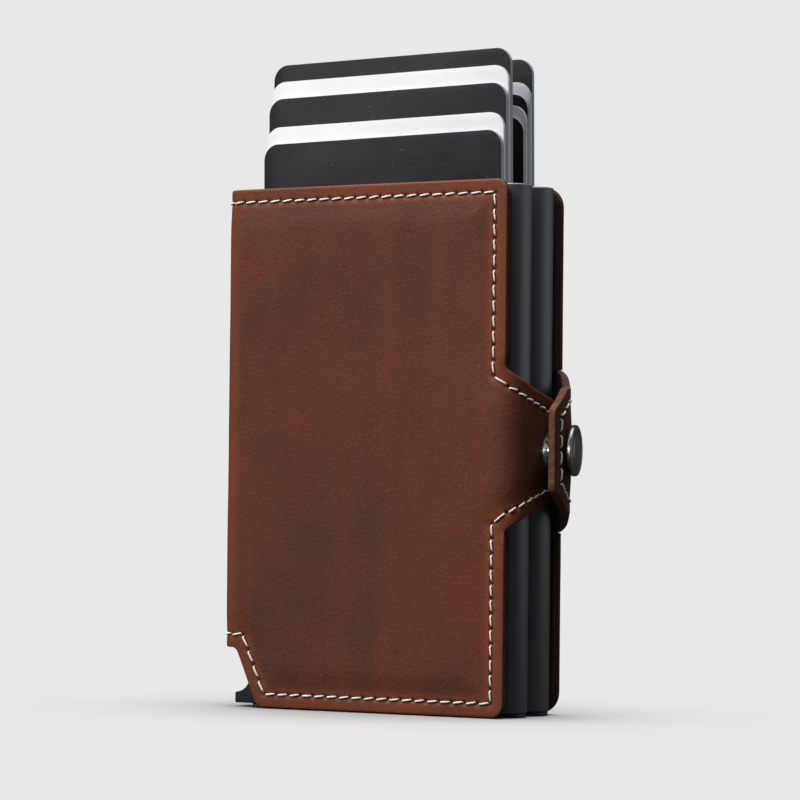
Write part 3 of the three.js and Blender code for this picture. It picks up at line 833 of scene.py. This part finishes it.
def sheet(name, edge, surface, thickness, materials, stitches=None, base=0.0, padded=0.4, bends=(),
          pad_from=None, whole_edge=None):
    """A leather sheet with a raw edge, a sunk stitch line with holes that carry painted shade, and a padded
    field.

    whole_edge is the free edge of the leather that the sheet is a part of, where that is larger.
    """
    flat, triangles, loop, border = triangulated(edge, stitches)
    deep = distance_to(border if whole_edge is None else resampled(whole_edge, 0.5), flat)
    outer = base - EDGE_DROP * bell(deep, EDGE_REACH) + WAVINESS * wander(flat, 7, 1.5)
    hole = np.zeros(len(flat))
    worn = 0.5 * bell(deep, 0.5)
    if stitches is not None:
        away = distance_to(stitches, flat)
        outer -= GROOVE_DEPTH * bell(away, GROOVE_REACH)
        rise = padded * smooth_step(deep, STITCH["inset"] + 0.3, FIELD_INSET)
        if pad_from is not None:
            rise = rise * (0.2 + 0.8 * smooth_step(flat[:, 0], *pad_from))
        outer += rise - 0.05
        holes = stitches[::PER_STITCH]
        near = np.linalg.norm(flat[:, None] - holes, axis=2).min(1)
        # hole is a mask of painted shade round each stitch hole, which the leather material darkens by.
        hole = bell(near, 0.32, 4)
        outer -= HOLE_DEPTH * bell(near, HOLE_REACH)
        rim = 1 - smooth_step(deep, STITCH["inset"] - 0.3, STITCH["inset"] + 1.6)
        worn = np.maximum(worn, 0.32 * rim)
        worn = np.maximum(worn, 0.5 * bell(away - 0.8, 0.5))
    for start, end in bends:
        worn = np.maximum(worn, 0.3 * smooth_step(flat[:, 0], start, start + 2.5)
                          * (1 - smooth_step(flat[:, 0], end - 1.5, end + 1.0)))
    inner = base - thickness + EDGE_LIFT * bell(deep, EDGE_REACH)
    u, v = flat.T
    points = [surface(u, v, outer), surface(u, v, inner)]
    count = len(flat)
    faces = [tuple(face) for face in triangles]
    faces += [tuple(k + count for k in reversed(face)) for face in triangles]
    which = [0] * len(triangles) + [2] * len(triangles)
    ring = flat[loop]
    outward = -ring_normals(ring)
    outward[len(border):] = 0
    outward[[0, len(border) - 1]] = 0
    rows = [list(loop)]
    for number, share in enumerate(EDGE_ROWS):
        bulge = 0.05 * math.sin(math.pi * share) + 0.035 * wander(ring, 0.8, 3.0 + number)
        place = ring + outward * bulge[:, None]
        level = outer[loop] + (inner[loop] - outer[loop]) * share
        points.append(surface(place[:, 0], place[:, 1], level))
        rows.append(list(range(2 * count + number * len(loop), 2 * count + (number + 1) * len(loop))))
    rows.append([k + count for k in loop])
    for upper, lower in zip(rows, rows[1:]):
        for k in range(len(loop)):
            after = (k + 1) % len(loop)
            faces.append((upper[k], lower[k], lower[after], upper[after]))
            which.append(1)
    filler = np.zeros(count + len(EDGE_ROWS) * len(loop))
    # The hole values carry the painted shade of the stitch holes to the leather material.
    values = {"worn": np.r_[worn, filler], "hole": np.r_[hole, filler]}
    return new_piece(name, np.vstack(points), faces, materials, which, sharp=70, values=values)


def threads(name, stitches, surface, keep=lambda middle: True, shift=0):
    """Saddle stitches as short twisted rods that dip into the holes at their ends."""
    around, along = 10, 11
    points, faces = [], []
    normals = left_normals(stitches)
    half = PER_STITCH // 2
    for start in range(0, len(stitches) - 1, PER_STITCH):
        if not keep(stitches[start + half]):
            continue
        first = len(points)
        lean = STITCH["slant"] * (1 + 0.25 * rng.standard_normal())
        lift = 0.02 * rng.standard_normal()
        shares = np.linspace(-1, 1, along)
        index = start + half + shares * half * STITCH["length"] / STITCH["pitch"]
        for share, at in zip(shares, index):
            k = min(int(at), len(stitches) - 2)
            centre = stitches[k] + (stitches[k + 1] - stitches[k]) * (at - k)
            centre = centre + normals[start + half] * lean * share
            taper = 1 - 0.45 * abs(share) ** 6
            height = 0.07 + lift - 0.45 * abs(share) ** 7
            for side in range(around):
                angle = 2 * math.pi * side / around
                ply = 1 + 0.09 * math.cos(2 * angle - 7 * share)
                out = STITCH["width"] / 2 * taper * ply * math.cos(angle)
                up = STITCH["height"] / 2 * taper * ply * math.sin(angle)
                points.append((*(centre + normals[start + half] * out), height + up))
        faces += capped_tube(along, around, first)
    flat = np.array(points)
    return new_piece(name, surface(flat[:, 0] - shift, flat[:, 1], flat[:, 2]), faces, [THREAD], sharp=60)


def row_point(x, y):
    """A point of the drawing frame's plan, at the closure's height, in the row frame."""
    return tuple(TO_ROW @ Vector((x, y, CLOSURE_Z)))


FRONT_FOLD = ("spine", "front_half", row_point(SPINE_X, -FOLD_FLAT), row_point(FOLD_X, -OUTER_Y))
BACK_FOLD = ("back_half", "spine", row_point(FOLD_X, OUTER_Y), row_point(SPINE_X, FOLD_FLAT))
TAB_FOLD = ("back_half", "closure_tab", row_point(TAB_SEAM_X, OUTER_Y), row_point(*TAB_FOLD_END))
FOLD_BEND = (FOLD_FLAT - 1.0, U_FOLD_END)
SPINE_PADDING = (FOLD_FLAT, U_FOLD_END + 4.0)
COVER_MATERIALS = [LEATHER_BROWN, COVER_EDGE, FLESH]


def bind(piece, slot, fold, *nodes):
    """The piece stands for CAD nodes and bends across a fold. Its slot is not used."""
    first, second, start, end = fold
    if nodes:
        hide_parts(*nodes)
    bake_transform(piece, first, second, start=start, end=end)


def add_front_cover():
    corners = free_corners(U_RIGHT, FRONT_CORNER, both_halves(STRAP_CORNERS))
    stitches = stitch_line(corners)
    cover = sheet("front_cover_leather", filleted(corners), front_surface, LEATHER, COVER_MATERIALS,
                  stitches, bends=[FOLD_BEND], pad_from=SPINE_PADDING)
    bind(cover, "leather", FRONT_FOLD, "front_panel", "spine_leather")
    bind(threads("front_cover_stitching", stitches, front_surface), "thread", FRONT_FOLD)


# The back cover and the closure tab are one piece of leather, drawn as two sheets that meet at the
# tab's seam. Both take their edge relief and their stitches from the outline of the whole.

BACK_WHOLE = free_corners(U_RIGHT, BACK_CORNER, both_halves(TAB_CORNERS, U_TAB_SEAM))
BACK_STITCHES = stitch_line(BACK_WHOLE)
BACK_EDGE = filleted(BACK_WHOLE)


def on_tab(place):
    return place[0] > U_TAB_SEAM and abs(place[1] - CLOSURE_Z) < TAB_ROOT_HALF


def add_back_cover():
    root = [(U_RIGHT, TAB_ROOT_HALF, 0), (U_TAB_SEAM, TAB_ROOT_HALF, 0)]
    edge = filleted(free_corners(U_RIGHT, BACK_CORNER, both_halves(root[::-1])))
    cover = sheet("back_cover_leather", edge, back_surface, LEATHER, COVER_MATERIALS, BACK_STITCHES,
                  bends=[FOLD_BEND], pad_from=SPINE_PADDING, whole_edge=BACK_EDGE)
    bind(cover, "leather", BACK_FOLD, "back_panel")
    sewing = threads("back_cover_stitching", BACK_STITCHES, back_surface, lambda place: not on_tab(place))
    bind(sewing, "thread", BACK_FOLD)


def add_tab():
    root = (0, TAB_ROOT_HALF, 0)
    edge = filleted(both_halves([*TAB_CORNERS, root]))
    shift = np.array([U_TAB_SEAM, 0])
    cover = sheet("closure_tab_leather", edge, tab_surface, TAB_LEATHER, [TAB_BROWN, TAB_EDGE, FLESH],
                  BACK_STITCHES - shift, padded=0.2, whole_edge=BACK_EDGE - shift)
    bind(cover, "leather", TAB_FOLD, "closure_tab")
    bind(threads("closure_tab_stitching", BACK_STITCHES, tab_surface, on_tab, U_TAB_SEAM), "thread", TAB_FOLD)


def lining_edge(root_x, half):
    """The linings end just inside the leather, and are notched where the strap or tab bends away."""
    inset = 0.2
    notch = [(u_at(root_x), half, 0.5), (U_RIGHT - inset, half, 0.5)]
    edge = filleted(free_corners(U_RIGHT - inset, LINING_CORNER, both_halves(notch)))
    edge[:, 1] = np.clip(edge[:, 1], BOTTOM + 0.1, TOP - inset)
    return edge


def add_lining(name, root_x, half, surface, fold, *nodes):
    materials = [LINING_SUEDE, LINING_EDGE, LINING_SUEDE]
    piece = sheet(name, lining_edge(root_x, half), surface, LINING, materials, base=-LEATHER - GLUE_LINE)
    bind(piece, "lining", fold, *nodes)


add_front_cover()
add_back_cover()
add_tab()
add_lining("front_lining_sheet", STRAP_ROOT_X, 14.5, front_surface, FRONT_FOLD,
           "front_lining", "spine_lining")
add_lining("back_lining_sheet", TAB_ROOT_X - 0.3, 15.0, back_surface, BACK_FOLD, "back_lining")

# ---- Snap fastener ----

SNAP_ALONG = sum(length for length, _ in TAB_BENDS[:STEPS_TO_SNAP])
SNAP_PLACE = points_at(TAB_LENGTHS, TAB_PLACES, SNAP_ALONG)
SNAP_BEARING = math.pi / 2 + math.radians(sum(turn for _, turn in TAB_BENDS[:STEPS_TO_SNAP]))
STUD_BEHIND_CAP = 1.22
STUD_PLACE = np.array([STRAP_X, SNAP_PLACE[1] - STUD_BEHIND_CAP])


def add_snap():
    radius = SNAP["cap"]
    low, seat, top = -TAB_LEATHER - 0.15, 0.5, 1.6
    sunk = top - 0.06
    cap = [(0, low), (SNAP["shank"], low), (SNAP["shank"], seat), (radius - 0.5, seat),
           (radius - 0.1, seat + 0.1), (radius, seat + 0.25), (radius, top - 0.3),
           (radius - 0.08, top - 0.13), (radius - 0.28, top - 0.04), (radius - 0.75, top),
           (radius - 0.85, sunk), (radius - 1.0, sunk), (radius - 1.85, sunk), (radius - 2.0, sunk),
           (radius - 2.1, top), (1.1, top + 0.05), (0, top + 0.06)]
    bearing = SNAP_BEARING + math.radians(SNAP["cap_tilt"])
    ticks = (radius - 1.9, radius - 0.9, 0.07)
    attach(turned_piece("snap_cap_metal", cap, SNAP_PLACE, bearing, GUNMETAL, ticks),
           "closure_tab", "snap_cap")
    near, deep, rim = -TAB_LEATHER - 0.05, 0.8, SNAP["socket"] + 0.1
    socket = [(SNAP["hole"], near - deep), (SNAP["hole"] + 0.25, near - deep - 0.06),
              (rim - 0.25, near - deep), (rim, near - deep + 0.25),
              (rim, near - 0.08), (rim - 0.08, near), (SNAP["hole"], near)]
    attach(turned_piece("snap_socket_metal", socket, SNAP_PLACE, SNAP_BEARING, NICKEL),
           "closure_tab", "snap_socket")
    stud = SNAP["stud"]
    flange = [(0, 0.05), (stud - 0.15, 0.05), (stud, 0.14), (stud, 0.26), (stud - 0.15, 0.36),
              (stud - 0.5, 0.36), (stud - 0.8, 0.3), (1.6, 0.3), (1.35, 0.42), (1.2, 0.8), (1.28, 1.2),
              (1.15, 1.45), (0.8, 1.66), (0.4, 1.73), (0, 1.75)]
    attach(turned_piece("snap_stud_metal", flange, STUD_PLACE, 0, NICKEL),
           "front_half", "snap_stud")
    inner = -LEATHER
    post = [(0, inner - 0.4), (0.9, inner - 0.4), (1.0, inner - 0.3), (1.3, inner - 0.3), (1.4, inner - 0.4),
            (2.3, inner - 0.38), (2.4, inner - 0.28), (2.4, inner - 0.05), (1, inner - 0.05), (1, 0), (0, 0)]
    attach(turned_piece("snap_stud_rivet", post, STUD_PLACE, 0, NICKEL),
           "front_half", "snap_stud_post")


add_snap()

# ---- Card protectors ----


def add_case(side, body, mid_y):
    wall, low, high = CASE["wall"], CASE["bottom"], CASE["top"]
    profile = [(0.22, low), (0.06, low + 0.06), (0, low + 0.22), (0, high - 0.3), (0.02, high - 0.16),
               (0.09, high - 0.06), (0.2, high), (wall - 0.16, high), (wall - 0.05, high - 0.05),
               (wall, high - 0.16), (wall, low + 0.16), (wall - 0.16, low)]
    path = stadium(CASE["width"], CASE["depth"], mid_y)
    shell = swept_ring(f"{side}_case_tube", path, profile, ALUMINIUM, worn_rows=(4, 5))
    through = (mid_y - CASE["depth"], mid_y + CASE["depth"])
    cut_box(shell, (-CASE["width"], CASE_NOTCH_X), through, (-1, NOTCH_TOP))
    attach(shell, body, f"{side}_case_shell")


def add_cards(side, pack_front, slots):
    for number, slot in enumerate(slots, 1):
        node = f"{side}_card_{number}"
        high = node_box(node)[1]
        half = CARD["width"] / 2
        outline = rounded_rectangle(-half, half, -CARD["height"], 0, CARD["corner"])
        outline = outline @ rotation(math.radians(CARD["tilt"])).T
        outline[:, 1] += high.z - outline[:, 1].max()
        front = pack_front + (number - 1) * CARD["pitch"]
        piece = slab(f"{side}_card_{number}_body", outline, front, front + CARD["thickness"], 0.07,
                     CARD_STOCKS[slot], worn_edge=True)
        attach(piece, node, node)


def soft_plate(node, name, corner, bevel, material):
    """A flat soft part with rounded edges that fills a CAD node's box."""
    low, high = node_box(node)
    outline = rounded_rectangle(low.x - CENTRE_X, high.x - CENTRE_X, low.z, high.z, corner)
    return slab(name, outline, low.y, high.y, bevel, material)


def add_soft_parts(side, body):
    for level in ("upper", "lower"):
        node = f"{side}_felt_{level}"
        attach(soft_plate(node, f"{node}_strip", 0.6, 0.18, FELT), body, node)
    node = "front_mount_pad" if side == "front" else "back_mount_pad"
    pad = soft_plate(node, f"{node}_foam", 3, 0.1, FOAM)
    attach(pad, body, node)


def add_hard_parts(side, body):
    for part, name, material, bevel, rides_on, slot in (
        ("base_insert", "base_plastic", BLACK_PLASTIC, 0.12, body, "black_plastic"),
        ("pivot_pin", "pivot_pin_steel", GROUND_STEEL, 0.12, body, "pin_steel"),
        ("lever", "lever_plastic", BLACK_PLASTIC, 0.2, f"{side}_lever", "black_plastic"),
    ):
        node = f"{side}_{part}"
        attach(refined(node, f"{side}_{name}", material, bevel), rides_on, node)


PROTECTORS = [
    ("front", "front_half", -CASE["mid"], ["card_black", "card_white"] * 2 + ["card_black"]),
    ("rear", "back_half", CASE["mid"], ["card_black", "card_grey"] * 2 + ["card_black"]),
]
for side, body, mid_y, slots in PROTECTORS:
    pack_front = mid_y - CASE["depth"] / 2 + CASE["wall"] + PACK_FRONT
    add_case(side, body, mid_y)
    add_cards(side, pack_front, slots)
    add_soft_parts(side, body)
    add_hard_parts(side, body)

# ---- Stage, light and camera ----

PALE = 0.807
FLOOR_RADIUS, FLOOR_GAP = 3.0, 0.0001
WALLET_MIDDLE = Vector((0, 0, 0.06))
wallet = bpy.data.collections.new("wallet")
hard_pieces = bpy.data.collections.new("hard_pieces")
snap_pieces = bpy.data.collections.new("snap_pieces")
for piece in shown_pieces():
    wallet.objects.link(piece)
    if not piece.name.endswith(("_leather", "_sheet")):
        hard_pieces.objects.link(piece)
    if piece.name.startswith("snap_"):
        snap_pieces.objects.link(piece)


def add_floor():
    """A round sheet of matt paper just under the wallet, which lights nothing itself."""
    mesh = bpy.data.meshes.new("floor")
    with editing(mesh) as shape:
        bmesh.ops.create_circle(shape, cap_ends=True, radius=FLOOR_RADIUS, segments=96)
    floor = placed("floor", mesh)
    floor.location.z = cad_low.z - FLOOR_GAP
    paper = bpy.data.materials.new("floor_paper")
    paper.use_nodes = True
    surface = paper.node_tree.nodes["Principled BSDF"]
    surface.inputs["Base Color"].default_value = (0.8, 0.8, 0.8, 1)
    surface.inputs["Roughness"].default_value = 0.9
    surface.inputs["Specular IOR Level"].default_value = 0.0
    mesh.materials.append(paper)
    floor.visible_diffuse = False
    floor.visible_glossy = False


def add_world(ambient):
    """A pale backdrop that adds only a little light of its own."""
    world = bpy.data.worlds.new("studio")
    bpy.context.scene.world = world
    world.use_nodes = True
    nodes, links = world.node_tree.nodes, world.node_tree.links
    backdrop = nodes["Background"]
    backdrop.inputs["Color"].default_value = (PALE, PALE, PALE, 1)
    path = nodes.new("ShaderNodeLightPath")
    level = nodes.new("ShaderNodeMapRange")
    level.inputs["To Min"].default_value = ambient
    level.inputs["To Max"].default_value = 1.0
    links.new(path.outputs["Is Camera Ray"], level.inputs["Value"])
    links.new(level.outputs["Result"], backdrop.inputs["Strength"])


def add_softbox(name, place, size, power, lit=wallet, glossy=True):
    lamp = bpy.data.lights.new(name, "AREA")
    lamp.shape = "RECTANGLE"
    lamp.size, lamp.size_y = size
    lamp.energy = power
    box = placed(name, lamp)
    box.location = place
    box.rotation_euler = (WALLET_MIDDLE - Vector(place)).to_track_quat("-Z", "Y").to_euler()
    box.light_linking.receiver_collection = lit
    box.visible_glossy = glossy


def add_overhead(strength):
    """A wide soft light from straight above, which makes the floor an even tone."""
    lamp = bpy.data.lights.new("overhead", "SUN")
    lamp.energy = strength
    lamp.angle = math.radians(50)
    placed("overhead", lamp)


def add_camera():
    """A long lens low over the floor, to the right of the wallet's front."""
    azimuth, pitch, roll = (math.radians(angle) for angle in (32.017, 1.692, 0.616))
    reach, height = 0.7, 0.0393
    across = Vector((-math.sin(azimuth), math.cos(azimuth), 0))
    forward = across * math.cos(pitch) + Vector((0, 0, math.sin(pitch)))
    level_right = Vector((math.cos(azimuth), math.sin(azimuth), 0))
    level_up = level_right.cross(forward)
    right = math.cos(roll) * level_right + math.sin(roll) * level_up
    up = math.cos(roll) * level_up - math.sin(roll) * level_right
    data = bpy.data.cameras.new("camera")
    data.sensor_width = 36
    data.lens = 162.67
    data.shift_x = 0.0038
    data.clip_start = 0.01
    camera = placed("camera", data)
    place = Vector((reach * math.sin(azimuth) + CENTRE_X * MM, -reach * math.cos(azimuth), height))
    turn = Matrix((right, up, -forward)).transposed().to_4x4()
    camera.matrix_world = Matrix.Translation(place) @ turn
    bpy.context.scene.camera = camera


add_floor()
add_world(0.08)
add_overhead(2.97)
add_softbox("key", (-0.45, -0.8, 0.95), (0.7, 0.7), 18.5)
add_softbox("back_fill", (-0.25, 1.1, 0.7), (0.8, 0.8), 15, glossy=False)
add_softbox("rear_right", (0.95, 0.62, 0.3), (1.3, 0.9), 2.4, hard_pieces)
add_softbox("snap_glint", (0.1, -1.2, 0.15), (0.9, 0.3), 9, snap_pieces)
add_camera()
bpy.context.scene.view_settings.view_transform = "Standard"
